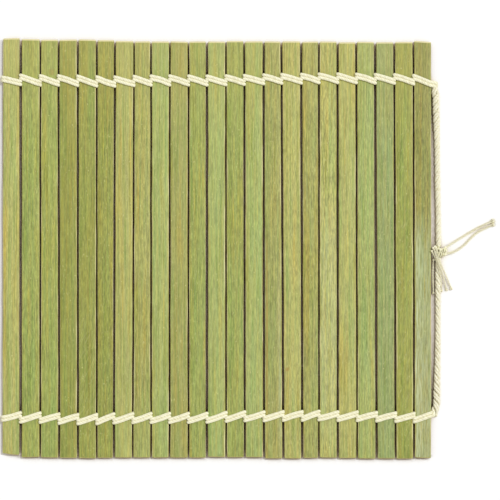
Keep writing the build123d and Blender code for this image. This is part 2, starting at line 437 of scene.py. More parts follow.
def bamboo_skin():
    """Green outer skin: long streaks, mottling, fine fibres, flecks, brown patches, wax and scratches, and
    painted light that grows towards the far end.
    """
    s = Shader("bamboo_skin")
    at = bamboo_coordinates(s)
    streaks = s.noise(at, (0.8, 0.011, 0.6))
    bands = s.noise(at, (0.3, 0.014, 0.2), (7, 3, 1), 2.0)
    mottle = s.noise(at, (1.35, 0.024, 0.8), (2, 8, 3), 3.0, 0.6)
    blotch = s.noise(at, (0.5, 0.07, 0.4), (6, 2, 9), 3.0, 0.6)
    fibres = s.noise(at, (6.5, 0.05, 5.0), (1, 9, 4), 2.0, 0.7)
    fine = s.noise(at, (17.0, 0.35, 9.0), (5, 2, 8), 1.0)
    grain = s.noise(at, (1.7, 0.2, 1.2), (2, 6, 3), 4.0, 0.75)
    texture = s.attribute("slat_tone", "Alpha")
    colour = s.attribute("slat_tone", "Color")
    colour = s.layers(
        colour, "MULTIPLY",
        (streaks, 0.5, 0.66, 0.6, (264, 250, 216)), (streaks, 0.5, 0.34, 0.6, (236, 253, 240)),
        (bands, 0.52, 0.7, 0.8, (242, 255, 254)), (bands, 0.48, 0.3, 0.8, (264, 248, 222)),
        (mottle, 0.5, 0.62, 1.0, (268, 262, 244)), (mottle, 0.5, 0.38, 1.0, (228, 236, 206)),
    )
    brown = s.noise(at, (0.6, 0.05, 0.4), (11, 4, 2), 3.0, 0.6)
    colour = s.layers(
        colour, "MIX", (blotch, 0.62, 0.76, 0.2, (178, 168, 70)), (brown, 0.61, 0.74, 0.25, (150, 130, 80)),
    )
    shade = s.math("ADD", s.span(fibres, 0.25, 0.75, -0.15, 0.15), s.span(fine, 0.3, 0.7, -0.08, 0.08))
    shade = s.math("ADD", shade, s.span(grain, 0.34, 0.66, -0.19, 0.19))
    colour = s.brighter(colour, s.math("ADD", s.math("MULTIPLY", shade, texture), 1.0))
    flecks = s.noise(at, (3.0, 0.45, 2.0), (3, 1, 5), 1.0)
    specks = s.noise(at, (1.5, 0.75, 1.0), (1, 7, 6), 1.0)
    spots = s.noise(at, (1.9, 0.55, 1.0), (9, 5, 5), 2.0)
    colour = s.layers(
        colour, "MIX", (flecks, 0.67, 0.77, 0.55, (216, 214, 148)),
        (specks, 0.715, 0.76, 0.6, (226, 222, 150)), (spots, 0.71, 0.8, 0.55, (118, 98, 54)),
    )
    wear = s.parts(s.attribute("slat_wear", "Vector"))
    wax_streaks = s.noise(at, (2.0, 0.07, 1.0), (4, 4, 4), 4.0, 0.75)
    wax = s.math("MULTIPLY", s.span(wax_streaks, 0.38, 0.6, 0.15, 1.0), wear[1])
    colour = s.mix(wax, colour, (214, 226, 180))
    peel_edge = s.math("ADD", wear[0], s.span(fibres, 0.2, 0.8, -0.25, 0.25))
    peeled = s.mix(s.span(fine, 0.3, 0.7), (156, 124, 56), (172, 142, 70))
    colour = s.layers(colour, "MIX", (peel_edge, 0.45, 0.6, 0.6, peeled))
    turned = s.node("ShaderNodeVectorRotate", {"Vector": at, "Angle": 0.42}, rotation_type="Z_AXIS")
    across = turned.outputs[0]
    scratch_noise = s.noise(across, (3.6, 0.1, 0.5), detail=2.0, roughness=0.6)
    scratches = s.math("MULTIPLY", s.span(scratch_noise, 0.58, 0.65), wear[2])
    colour = s.mix(s.math("MULTIPLY", scratches, 0.4), colour, (200, 198, 134))
    along = s.parts(s.place())[1]
    # Painted light: the skin is darker towards the near end and lighter and yellower towards the far end
    colour = s.brighter(colour, s.span(along, -0.12, 0.12, 0.965, 1.025))
    colour = s.mix(s.span(along, 0.05, 0.125, 0, 0.2), colour, (190, 176, 104))
    height = s.math("ADD", s.math("MULTIPLY", fibres, 0.7), s.math("MULTIPLY", fine, 0.3))
    normal = s.bump(height, 0.00012, 0.6)
    roughness = s.math("ADD", s.span(grain, 0.2, 0.8, 0.42, 0.58), s.math("MULTIPLY", wax, 0.2))
    return s.finish(colour, roughness, normal, 0.35)


def bamboo_edge():
    """Split edges: cream in places on the bevel, tan with brown fibres down the side."""
    s = Shader("bamboo_edge")
    at = bamboo_coordinates(s)
    fibres = s.noise(at, (3.0, 0.12, 5.0), roughness=0.7)
    fine = s.noise(at, (9.0, 0.3, 14.0), (4, 4, 1), 2.0)
    pale = s.noise(at, (0.5, 0.035, 0.5), (8, 8, 2), 3.0, 0.7)
    height = s.parts(s.place())[2]
    side = s.mix(s.span(fibres, 0.35, 0.68), (178, 154, 92), (120, 92, 46))
    bevel = s.mix(s.span(fibres, 0.3, 0.7), (188, 186, 110), (156, 156, 82))
    bevel = s.mix(s.span(pale, 0.45, 0.62, 0, 0.85), bevel, (226, 218, 160))
    colour = s.mix(s.span(height, 0.0031, 0.0035), side, bevel)
    colour = s.brighter(colour, s.span(fine, 0.25, 0.75, 0.88, 1.1))
    return s.finish(colour, s.span(fibres, 0.2, 0.8, 0.55, 0.75), s.bump(fibres, 0.0002, 0.7), 0.25)


def bamboo_inner():
    """Inner side of the bamboo: pale straw with coarse long fibres and fine brown lines."""
    s = Shader("bamboo_inner")
    at = bamboo_coordinates(s)
    fibres = s.noise(at, (2.6, 0.03, 2.0), detail=4.0, roughness=0.7)
    lines = s.noise(at, (8.0, 0.05, 4.0), (3, 7, 2), 2.0)
    cloud = s.noise(at, (0.3, 0.02, 0.3), (5, 5, 1), 2.0)
    colour = s.mix(s.span(fibres, 0.3, 0.7), (222, 202, 148), (196, 172, 112))
    colour = s.mix(s.span(lines, 0.6, 0.72, 0, 0.6), colour, (150, 112, 64))
    colour = s.mix(s.span(cloud, 0.45, 0.7, 0, 0.4), colour, (206, 196, 132))
    return s.finish(colour, s.span(lines, 0.2, 0.8, 0.6, 0.78), s.bump(fibres, 0.00018, 0.6), 0.25)


def bamboo_end():
    """Sawn end grain: tan with the dark dots of the fibre bundles, closer together near the skin, and a
    painted highlight at the far ends.
    """
    s = Shader("bamboo_end")
    at = bamboo_coordinates(s)
    dots = s.node("ShaderNodeTexVoronoi", {"Vector": s.scaled(at, (2.6, 1.2, 2.6)), "Scale": 1.0})
    dot = s.span(dots.outputs["Distance"], 0.34, 0.2)
    saw = s.noise(at, (1.2, 3.0, 9.0), roughness=0.7)
    height = s.parts(s.place())[2]
    colour = s.mix(s.span(height, 0.0018, 0.0036), (206, 180, 122), (196, 186, 120))
    colour = s.mix(s.math("MULTIPLY", dot, 0.65), colour, (112, 84, 50))
    colour = s.brighter(colour, s.span(saw, 0.25, 0.75, 0.86, 1.12))
    # Painted highlight: the sawn ends at the far end turn pale cream, as if lit from the far side
    colour = s.mix(s.span(s.parts(s.place())[1], 0.0, 0.1, 0, 0.6), colour, (250, 242, 196))
    return s.finish(colour, s.span(saw, 0.2, 0.8, 0.7, 0.88), s.bump(saw, 0.00025, 0.8), 0.2)


def cotton(name, pale, shadow, fleck_and_shade, plies, relief=0.75, groove_shade=0.6, sheen=0.25):
    """Twisted cotton twine: fibres that follow the twist, painted shade between the plies and the strands and
    at shaded tips, a few husk flecks.
    """
    s = Shader(name)
    fibre = s.attribute("fibre", "Vector")
    x, y, along = s.parts(fibre)
    groove = s.attribute("groove", "Fac")
    hair = s.noise(fibre, (5.0, 5.0, 0.9), roughness=0.7)
    fine = s.noise(fibre, (14.0, 14.0, 2.4), (3, 5, 7), 2.0, 0.7)
    patch = s.noise(fibre, (0.5, 0.5, 0.5), (9, 2, 5), 2.0)
    colour = s.mix(s.span(hair, 0.3, 0.72), pale, shadow)
    colour = s.layers(
        # Painted shade: darker where the groove values are high, between plies and between strands
        colour, "MIX", (patch, 0.45, 0.75, 0.35, fleck_and_shade), (groove, 0.4, 1.0, groove_shade, fleck_and_shade),
        # Painted shade at the tips of tails, in brown
        (groove, 1.2, 1.9, 0.75, (132, 104, 64)),
    )
    husks = s.noise(fibre, (3.2, 3.2, 1.6), (6, 1, 2), 1.0)
    colour = s.layers(colour, "MIX", (husks, 0.75, 0.8, 0.7, (150, 118, 74)))
    colour = s.brighter(colour, s.span(fine, 0.2, 0.8, 0.94, 1.05))
    height = s.math("ADD", s.math("MULTIPLY", hair, 0.6), s.math("MULTIPLY", fine, 0.5))
    if plies:
        turn = s.math("MULTIPLY", s.math("ARCTAN2", y, x), float(plies))
        height = s.math("ADD", height, s.math("MULTIPLY", s.math("COSINE", turn), 0.9))
    normal = s.bump(height, 0.00014, relief)
    material = s.finish(colour, s.span(fine, 0.2, 0.8, 0.8, 0.95), normal, 0.15)
    s.surface.inputs["Sheen Weight"].default_value = sheen
    s.surface.inputs["Sheen Roughness"].default_value = 0.5
    return material


skin = bamboo_skin()
edge = bamboo_edge()
inner = bamboo_inner()
end_grain = bamboo_end()
stitch_cotton = cotton("cotton_stitches", (255, 254, 229), (250, 246, 208), (208, 198, 144), 0)
rope_cotton = cotton("cotton_edge_cord", (255, 253, 230), (248, 243, 212), (196, 182, 132), 3, 0.6, 0.5)
tail_cotton = cotton("cotton_tails", (255, 254, 232), (255, 250, 214), (226, 206, 150), 3, 0.4, 0.45, 0.4)
knot_cotton = cotton("cotton_knot", (255, 254, 226), (252, 248, 206), (210, 198, 140), 3, 0.5, 0.5, 0.4)


# Meshes
def mesh_piece(name, points, faces, materials, face_materials=None, attributes=()):
    """An object from points in millimetres, with smooth faces and values kept on its points."""
    mesh = bpy.data.meshes.new(name)
    mesh.from_pydata([tuple(p) for p in np.asarray(points) * MM], [], faces)
    for material in materials:
        mesh.materials.append(material)
    if face_materials is not None:
        mesh.polygons.foreach_set("material_index", np.asarray(face_materials, np.int32))
    mesh.polygons.foreach_set("use_smooth", np.ones(len(faces), bool))
    for label, kind, values in attributes:
        kept = mesh.attributes.new(label, kind, "POINT")
        field = {"FLOAT": "value", "FLOAT_VECTOR": "vector", "FLOAT_COLOR": "color"}[kind]
        kept.data.foreach_set(field, np.asarray(values, np.float32).ravel())
    mesh.update()
    piece = bpy.data.objects.new(name, mesh)
    bpy.context.scene.collection.objects.link(piece)
    return piece


def spline_line(points, steps=24):
    """The line of the NURBS spline that has these control points."""
    curve = bpy.data.curves.new("route", "CURVE")
    curve.dimensions = "3D"
    curve.resolution_u = steps
    spline = curve.splines.new("NURBS")
    spline.points.add(len(points) - 1)
    for kept, point in zip(spline.points, points):
        kept.co = (*(np.array(point) * MM), 1)
    spline.order_u = 3
    spline.use_endpoint_u = True
    holder = bpy.data.objects.new("route", curve)
    mesh = bpy.data.meshes.new_from_object(holder)
    line = np.array([v.co for v in mesh.vertices]) / MM
    bpy.data.objects.remove(holder)
    bpy.data.curves.remove(curve)
    bpy.data.meshes.remove(mesh)
    return line


def distances(line):
    """How far along a line each of its points is."""
    return np.concatenate([[0], np.cumsum(np.linalg.norm(np.diff(line, axis=0), axis=1))])


def even(line, step):
    """The same line with points at even steps."""
    along = distances(line)
    count = max(3, int(round(along[-1] / step)) + 1)
    at = np.linspace(0, along[-1], count)
    return np.stack([np.interp(at, along, line[:, k]) for k in range(3)], axis=1)


def carried_frames(line, first_side):
    """A side and an up direction at each point, carried along the line with no twist of their own."""
    tangent = np.gradient(line, axis=0)
    tangent /= np.linalg.norm(tangent, axis=1, keepdims=True)
    side = np.array(first_side, float)
    sides = []
    for t in tangent:
        side = side - side.dot(t) * t
        side = side / np.linalg.norm(side)
        sides.append(side)
    sides = np.array(sides)
    return sides, np.cross(tangent, sides)


class Bundle:
    """Strands of one piece, gathered until they become its mesh."""

    def __init__(self):
        self.points, self.faces, self.fibre, self.groove = [], [], [], []
        self.count = 0

    def add(self, points, fibre, groove, faces):
        self.points.append(points)
        self.fibre.append(fibre)
        self.groove.append(groove)
        self.faces += [tuple(i + self.count for i in face) for face in faces]
        self.count += len(points)

    def piece(self, name, material):
        # The groove values are the painted shade that the cotton shader darkens by
        attributes = [
            ("fibre", "FLOAT_VECTOR", np.concatenate(self.fibre)),
            ("groove", "FLOAT", np.concatenate(self.groove)),
        ]
        return mesh_piece(name, np.concatenate(self.points), self.faces, [material], None, attributes)


def tube_faces(rings, sides, closed):
    """Quads between the rings of a tube, and its two flat ends if it is closed."""
    faces = []
    for i in range(rings - 1):
        for j in range(sides):
            k = (j + 1) % sides
            faces.append((i * sides + j, (i + 1) * sides + j, (i + 1) * sides + k, i * sides + k))
    if closed:
        faces.append(tuple(range(sides)))
        faces.append(tuple((rings - 1) * sides + j for j in reversed(range(sides))))
    return faces


def crowding(points, neighbours, radius):
    """How deep points lie between a strand and its neighbours, from 0 to 1, for the painted shade between
    strands.
    """
    if not neighbours:
        return np.zeros(len(points))
    others = np.concatenate(neighbours)[::2]
    near = np.full(len(points), np.inf)
    for part in range(0, len(points), 2000):
        apart = points[part:part + 2000, None, :] - others[None, :, :]
        near[part:part + 2000] = np.linalg.norm(apart, axis=2).min(axis=1)
    return np.clip((1.45 * radius - near) / (0.45 * radius), 0, 1)


def rings(line, reach, side, up, around, flat=(1.0, 1.0)):
    """Points round a line: rings that reach this far out at each of their angles."""
    across = flat[0] * np.cos(around)[None, :, None] * side[:, None, :]
    ring = across + flat[1] * np.sin(around)[None, :, None] * up[:, None, :]
    return (line[:, None, :] + reach[:, :, None] * ring).reshape(-1, 3)


def add_strand(bundle, line, radius, first_side, seed, fit, lead=ply_lead, depth=ply_depth, sides=16,
               closed=False, tips=0.0, flat=(1.0, 1.0), neighbours=(), tip_shade=0.0):
    """A twisted strand of three plies along a line, with painted shade between its plies, beside its
    neighbours and at a shaded tip. fit moves its points off what it lies against.
    """
    side, up = carried_frames(line, first_side)
    along = distances(line)
    turns = max(1, round(3 * along[-1] / lead)) / 3
    twist = 2 * math.pi * turns * along / along[-1]
    around = np.linspace(0, 2 * math.pi, sides, endpoint=False)
    lobe = np.cos(1.5 * ((around[None, :] - twist[:, None]) % (2 * math.pi / 3)) - math.pi / 2)
    groove = 1 - lobe
    rng = seeded(41, seed)
    swell = 1 + 0.035 * smooth_noise(rng, along, 1.7)
    reach = radius * swell[:, None] * (1 - depth * groove)
    if tips:
        from_end = np.minimum(along, along[-1] - along) / tips
        reach *= np.sqrt(np.clip(from_end * (2 - from_end), 0.12, 1))[:, None]
    points = fit(rings(line, reach, side, up, around, flat))
    turned = around[None, :] - twist[:, None]
    offset = rng.uniform(0, 50)
    along_too = np.broadcast_to(along[:, None] + offset, turned.shape)
    fibre = np.stack([np.cos(turned), np.sin(turned), along_too], -1).reshape(-1, 3)
    # Painted shade: points deep between plies or crowded by neighbouring strands get darker
    shade = np.maximum(groove.ravel(), crowding(points, neighbours, radius))
    # Painted shade at the tip: the last stretch of the strand darkens towards its end
    if tip_shade:
        end = np.clip((along - along[-1] + tip_shade) / tip_shade, 0, 1)
        shade = shade + np.repeat(end, sides)
    bundle.add(points, fibre, shade, tube_faces(len(line), sides, closed))


def add_hairs(bundle, line, radius, seed, fit, count, length, thickness):
    """Fine loose fibres that stand out from a strand and curl back towards it."""
    rng = seeded(77, seed)
    sides = 3
    steps = 6
    around = np.linspace(0, 2 * math.pi, sides, endpoint=False)
    for _ in range(count):
        index = rng.integers(1, len(line) - 1)
        tangent = line[index + 1] - line[index - 1]
        tangent = tangent / np.linalg.norm(tangent)
        out = np.cross(tangent, rng.normal(size=3))
        out = out / np.linalg.norm(out)
        bend = np.cross(tangent, out) * rng.uniform(-1, 1)
        reach = length * rng.uniform(0.45, 1.0)
        t = np.linspace(0, 1, steps)[:, None]
        rise = rng.uniform(0.25, 0.7) * reach
        hair = line[index] + out * (radius * 0.8 + rise * t * (1.25 - t))
        hair = hair + tangent * reach * t + bend * reach * 0.3 * t * t
        side, up = carried_frames(hair, out + 0.1 * tangent)
        points = fit(rings(hair, thickness * (1 - 0.6 * t), side, up, around))
        fibre = np.tile([1.0, 0.0, rng.uniform(0, 50)], (len(points), 1))
        bundle.add(points, fibre, np.zeros(len(points)), tube_faces(steps, sides, True))


def above_table(points):
    """Points kept on or above the table."""
    points[:, 2] = np.maximum(points[:, 2], contact)
    return points


def off_slat(points, centre_x, half_width):
    """Points pushed out of the cross-section of the slat that is centred there."""
    half_height = (slat_top - slat_underside) / 2
    x = points[:, 0] - centre_x
    z = points[:, 2] - hinge_height
    z = z + np.where(z > 0, crown * (x / half_width) ** 2, 0)
    over = np.stack([np.abs(x) - half_width + slat_round, np.abs(z) - half_height + slat_round], 1)
    outside = np.maximum(over, 0)
    length = np.linalg.norm(outside, axis=1)
    distance = length + np.minimum(over.max(axis=1), 0) - slat_round
    nearest = np.where(over[:, :1] > over[:, 1:], [[1.0, 0.0]], [[0.0, 1.0]])
    direction = np.where(length[:, None] > 1e-9, outside / np.maximum(length, 1e-9)[:, None], nearest)
    push = np.maximum(contact - distance, 0)
    points[:, 0] += direction[:, 0] * np.sign(x) * push
    points[:, 2] += direction[:, 1] * np.sign(z) * push
    return points


def on_body(piece, body, slot, *nodes):
    """A piece rides on a body and stands for CAD nodes, which it hides. The slot is not used."""
    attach(piece, body)
    if nodes:
        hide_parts(*nodes)
    return piece


# Camera
def make_camera():
    """Straight above the photograph's centre, with the photograph's scale at the top of the slats."""
    data = bpy.data.cameras.new("camera")
    data.sensor_width = 36.0
    data.lens = data.sensor_width * (camera_height - slat_top) / view_width
    data.clip_end = 20.0
    camera = bpy.data.objects.new("camera", data)
    camera.location = (view_centre_x * MM, 0.0, camera_height * MM)
    bpy.context.scene.collection.objects.link(camera)
    bpy.context.scene.camera = camera


# Edge cords, knot and tails
def from_edge(points):
    """Route points with X counted from the outer edge of the last slat."""
    return [(outer_edge + x, y, z) for x, y, z in points]


def laid_strands(line, angles, offset, lead, hand=1, first_side=(1, 0, 0)):
    """The lines of strands laid round a centre line, as in a rope, from their angles at its start."""
    sides, ups = carried_frames(line, first_side)
    along = distances(line)
    reach = np.broadcast_to(offset, along.shape)[:, None]
    lines = []
    for start in angles:
        angle = start + hand * 2 * math.pi * along / lead
        lines.append(line + reach * (np.cos(angle)[:, None] * sides + np.sin(angle)[:, None] * ups))
    return lines


def clear_of_slat(line, radius):
    """A strand's line moved so that the strand lies on the table and beside the last slat."""
    line = line.copy()
    line[:, 2] = np.maximum(line[:, 2], radius * 0.92)
    line[:, 0] = np.maximum(line[:, 0], outer_edge + radius)
    return line


def edge_cord(name, points, hand, seed):
    """An edge cord: two pairs of twisted strands that go on twining, loose at first."""
    line = even(spline_line(from_edge(points)), rope_step)
    along = distances(line)
    rng = seeded(3, seed)
    loose = rope_spread * np.exp(-(along / rope_spread_length) ** 2)
    offset = (rope_diameter / 2 - rope_strand_radius) * (1.04 + loose + 0.12 * smooth_noise(rng, along, 6.0))
    angles = [0.2, 0.2 + rope_pair_angle, 0.2 + math.pi, 0.2 + math.pi + rope_pair_angle]
    lines = laid_strands(line, angles, offset, rope_lead, hand)
    lines = [clear_of_slat(strand, rope_strand_radius) for strand in lines]
    bundle = Bundle()
    for k, strand in enumerate(lines):
        others = lines[:k] + lines[k + 1:]
        add_strand(bundle, strand, rope_strand_radius, (0, 0, 1), seed + k, above_table, neighbours=others,
                   **rope_strand)
        add_hairs(bundle, strand, rope_strand_radius, seed + 20 + k, above_table, *rope_hairs)
    core = clear_of_slat(line, rope_strand_radius)
    add_strand(bundle, core, rope_strand_radius * 1.05, (0, 0, 1), seed + 9, above_table, **rope_core)
    piece = bundle.piece(name, rope_cotton)
    return on_body(piece, last_body, "cotton_twine", name), line, [s[0] for s in lines]


def plied_tail(bundle, line, radius, lead, seed, splay, tip_shade, hair):
    """Three plies twisted together that open at the far end into loose fibres."""
    along = distances(line)
    open_share = np.clip((along - along[-1] + splay) / splay, 0, 1)
    offset = radius * 0.74 * (1 + 0.8 * open_share ** 2)
    plies = laid_strands(line, [0.0, 2.1, 4.2], offset, lead, 1, (0, 0, 1))
    for ply in plies:
        ply[:, 2] = np.maximum(ply[:, 2], radius * 0.9)
    for k, ply in enumerate(plies):
        add_strand(bundle, ply, radius, (0, 0, 1), seed + k, above_table, tip_shade=tip_shade, **tail_ply)
        add_hairs(bundle, ply, radius, seed + 10 + k, above_table, *tail_hairs)
        tuft = ply[-max(8, int(splay * 3)):]
        add_hairs(bundle, tuft, radius * 0.7, seed + 30 + k, above_table, tuft_count, hair, tuft_thickness)


def free_tail(name, points, radius, lead, seed, end):
    """A tail of twine along its route, snipped off at its end."""
    line = even(spline_line(from_edge(points)), twine_step)
    bundle = Bundle()
    plied_tail(bundle, line, radius, lead, seed, **end)
    piece = bundle.piece(name, tail_cotton)
    return on_body(piece, last_body, "cotton_twine", name), line


def frayed_tail():
    """Three strands from the slat's edge over the knot, which end apart below it as the frayed tail."""
    bundle = Bundle()
    for k, points in enumerate(frayed_strand_routes):
        line = even(spline_line(from_edge(points)), twine_step)
        plied_tail(bundle, line, frayed_strand_radius, frayed_strand_lead, 700 + 50 * k, **frayed_strand_end)
    piece = bundle.piece("frayed_tail", tail_cotton)
    return on_body(piece, last_body, "cotton_twine", "frayed_tail", "knot")


def knot_wraps():
    """The knot: leaning turns round the ends of both cords and the tails."""
    wraps = Bundle()
    t = np.linspace(0, 1, 200)
    angle = 2 * math.pi * knot_turns * t + knot_first_angle
    around = np.stack([np.cos(angle), np.cos(angle), np.sin(angle)], axis=1)
    helix = knot_start + t[:, None] * knot_travel + around * knot_reach
    helix = even(np.array(from_edge(helix)), knot_step)
    add_strand(wraps, helix, knot_strand_radius, (1, 0, 0), 801, above_table, **knot_turn)
    add_hairs(wraps, helix, knot_strand_radius - 0.1, 802, above_table, *knot_hairs)
    for k, points in enumerate(knot_runs):
        line = even(spline_line(from_edge(points)), knot_step)
        add_strand(wraps, line, knot_run_radius, (0, 0, 1), 810 + k, above_table, **knot_run)
    return on_body(wraps.piece("knot_wraps", knot_cotton), last_body, "cotton_twine", "knot")


# Stitches
def slat_x(index):
    """X of the middle of a slat, counted from 1 at the left."""
    return hinge_x[0] - pitch / 2 + (index - 1) * pitch


def lane_y(gap, pair, share):
    """Y of a strand in a gap, from the middle of its row. The pairs lie closer towards the right."""
    inner = (inner_lane + inner_lane_change * (1 - 2 * (gap - 1) / (slat_count - 2))) / 2
    return inner + (share - 0.5) * lane if pair == 0 else -inner - (1.5 - share) * lane


def side_y(share, at_last):
    """Y of a strand beside the outer edge of the first or last slat, from the middle of its row."""
    return (share - 2) * lane + last_edge_shift if at_last else (share - 1) * lane + first_edge_shift


def row_y(row):
    """Y of a row of stitches in the mat, before its own shift and drift."""
    return row_sides[row] * row_distance


def between_rows(far, near, y):
    """A value at this y, from its values at the far and the near row."""
    return near + (far - near) * (y + row_distance) / (2 * row_distance)


def gap_shift(gap, y):
    """How far the middle of a gap is moved to the right, at this y."""
    return between_rows(far_gap_shifts[gap - 1], near_gap_shifts[gap - 1], y)


def edge_shifts(index, y):
    """How far the left and the right edge of a slat are moved to the right, at this y."""
    if index == 1:
        left = between_rows(*first_edge_moves, y)
    else:
        left = gap_shift(index - 1, y) + gap_widenings[index - 2] / 2
    right = gap_shift(index, y) - gap_widenings[index - 1] / 2 if index < slat_count else 0.0
    return left, right


def middle_y(index, share, under):
    """Y of a strand over or under the middle of a slat, from the middle of its row."""
    left = side_y(share, False) if index == 1 else lane_y(index - 1, 1 if under else 0, share)
    right = side_y(share, True) if index == slat_count else lane_y(index, 0 if under else 1, share)
    return (left + right) / 2


def drift(row, place):
    """How far a row stands from its CAD row at a slat's number, or between two, as the row's own Y."""
    return row_sides[row] * np.interp(place, *zip(*row_drifts[row]))


def wander(row, index, which):
    """A small sideways shift of the twine at one place, the same for all pieces that meet there."""
    return wander_reach * seeded(5, row, index, which).uniform(-1, 1)


def slat_y(row, index, share, under):
    """Y of a strand over or under the middle of a slat, from the middle of its row's straight CAD line."""
    return middle_y(index, share, under) + wander(row, index, int(under)) + drift(row, index)


def crossing_line(row, gap, share, pair):
    """A strand's line through one gap, from the middle of the slat that it goes over."""
    side = 1 if pair == 0 else -1
    over, under = (gap + 1, gap) if pair == 0 else (gap, gap + 1)
    over_y = slat_y(row, over, share, False)
    under_y = slat_y(row, under, share, True)
    through = lane_y(gap, pair, share) + wander(row, gap, 2) + drift(row, gap + 0.5)
    half = pitch / 2
    places = (half, bend_share * half, beside_reach, -gap_reach, -crossing_reach)
    places += tuple(-place for place in reversed(places))
    heights = [*(strand_top - sink for sink in strand_sinks), *crossing_heights, *([strand_low] * 4)]
    bends = [over_y + (through - over_y) * part for part in over_shares] + [through] * 4
    bends += [under_y + (through - under_y) * part for part in under_shares]
    moved = gap_shift(gap, row_y(row))
    moved_shares = (0, 0.4, *([1] * 6), 0.4, 0)
    points = [
        (hinge_x[gap - 1] + side * place + moved * part, y, z)
        for place, part, y, z in zip(places, moved_shares, bends, heights)
    ]
    return even(spline_line(points, 16), twine_step)


def row_middle(row):
    """How far the middle of a row of stitches is from the middle of the mat."""
    return row_distance + (upper_row_shift if row == 0 else 0)


def place_in_row(line, row):
    """A line moved to the upper row, or mirrored to the lower row."""
    placed = line.copy()
    placed[:, 1] = row_sides[row] * (placed[:, 1] + row_middle(row))
    return placed


def add_stitch(bundle, lines, row, seed, fit, hairs, closed=False):
    """Strands of a row of stitches, laid side by side."""
    placed = [place_in_row(line, row) for line in lines]
    for k, line in enumerate(placed):
        add_strand(bundle, line, strand_radius, (0, 1, 0), seed + k, fit, closed=closed,
                   flat=strand_flatness, neighbours=placed[:k] + placed[k + 1:])
        add_hairs(bundle, line, strand_radius, seed + k, fit, hairs, *stitch_hair_size)


def stitch_fit(row, *slats):
    """Keeps a row's twine on the table and off these slats."""
    sections = []
    for index in slats:
        left, right = edge_shifts(index, row_y(row))
        sections.append((slat_x(index) + (left + right) / 2, (slat_width + right - left) / 2))

    def fit(points):
        for _ in range(2):
            for centre_x, half_width in sections:
                points = off_slat(points, centre_x, half_width)
        return above_table(points)
    return fit


def gap_stitches(row, gap):
    """The twine of one row from the middle of one slat to the middle of the next."""
    bundle = Bundle()
    lines = [crossing_line(row, gap, share, pair) for pair in (0, 1) for share in pair_shares]
    add_stitch(bundle, lines, row, 1000 * (row + 1) + 10 * gap, stitch_fit(row, gap, gap + 1), 7)
    piece = bundle.piece(f"stitches_{row_names[row]}_{gap:02d}", stitch_cotton)
    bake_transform(piece)
    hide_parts(f"stitches_{gap:02d}", f"stitches_{gap + 1:02d}")
    return piece


def first_fold(row):
    """The fold of both strands round the left edge of the first slat."""
    bundle = Bundle()
    x = slat_x(1)
    out = -slat_width / 2 - strand_radius * 0.8
    lines = []
    for share in pair_shares:
        beside = side_y(share, False) + drift(row, 1)
        over_y = slat_y(row, 1, share, False)
        points = [
            (x, over_y, strand_top), (x - fold_reach, (over_y + beside) / 2, strand_top - 0.06),
            (x + out, beside, strand_top - 0.1), (x + out - 0.15, beside, hinge_height),
            (x + out, beside, strand_low), (x - fold_reach, beside, strand_low),
            (x, slat_y(row, 1, share, True), strand_low),
        ]
        lines.append(even(spline_line(points, 16), twine_step))
    add_stitch(bundle, lines, row, 40 + 4 * row, stitch_fit(row, 1), 9)
    piece = bundle.piece(f"fold_{row_names[row]}", stitch_cotton)
    return on_body(piece, "strip_01", "cotton_twine", "stitches_01")


def last_run(row, rope_starts):
    """The four strands that leave the last slat and become the edge cord."""
    bundle = Bundle()
    x = slat_x(slat_count)
    side = slat_width / 2
    mirror = row_sides[row]
    by_height = sorted(rope_starts, key=lambda p: -p[2])
    upper = sorted(by_height[:2], key=lambda p: p[0])
    lower = sorted(by_height[2:], key=lambda p: p[0])
    lines = []
    for share, high_end, low_end in zip(pair_shares, upper, lower):
        beside = side_y(share, True) + drift(row, slat_count)
        ends = [(e[0] - x, e[1] * mirror - row_middle(row), e[2]) for e in (high_end, low_end)]
        over_y = slat_y(row, slat_count, share, False)
        under_y = slat_y(row, slat_count, share, True)
        to = ends[0]
        over = [
            (0, over_y, strand_top), (0.45 * side, over_y * 0.55 + beside * 0.45, strand_top),
            (0.92 * side, beside + 0.1, strand_top - 0.1), (to[0] - 0.1, beside - 0.1, strand_top - 0.2),
            (to[0] + 0.2, to[1] + 0.9, to[2] + 0.6), to,
        ]
        to = ends[1]
        under = [
            (0, under_y, strand_low), (0.6 * side, beside, strand_low), (side, beside, strand_low),
            (to[0] + 0.1, beside - 0.1, strand_low + 0.1), (to[0], to[1] + 0.9, to[2] - 0.2), to,
        ]
        for run in (over, under):
            lines.append(even(spline_line([(x + a, b, c) for a, b, c in run], 16), twine_step))
    add_stitch(bundle, lines, row, 80 + 4 * row, stitch_fit(row, slat_count), 8, True)
    piece = bundle.piece(f"run_out_{row_names[row]}", stitch_cotton)
    return on_body(piece, last_body, "cotton_twine", f"stitches_{slat_count:02d}")


# Slats
def slat_section(half, bevel_left, bevel_right):
    """Cross-section of a slat as (x, z) points from its middle, and the material of each side."""
    low = slat_underside
    high = slat_top
    shoulder = high - crown
    rows = [
        (-half + 0.35, low, 2), (-half + 0.1, low + 0.1, 1), (-half, low + 0.4, 1),
        (-half, shoulder - 0.5 - bevel_left * 0.35, 1), (-half + 0.1, shoulder - 0.16, 1),
        (-half + 0.22 + bevel_left, shoulder + 0.05, 0),
    ]
    for share in (-0.78, -0.52, -0.26, 0.0, 0.26, 0.52, 0.78):
        rows.append((share * half, high - crown * share * share, 0))
    rows += [
        (half - 0.22 - bevel_right, shoulder + 0.05, 1), (half - 0.1, shoulder - 0.16, 1),
        (half, shoulder - 0.5 - bevel_right * 0.35, 1), (half, low + 0.4, 1), (half - 0.1, low + 0.1, 1),
        (half - 0.35, low, 2), (half * 0.4, low, 2), (0.0, low, 2), (-half * 0.4, low, 2),
    ]
    return rows


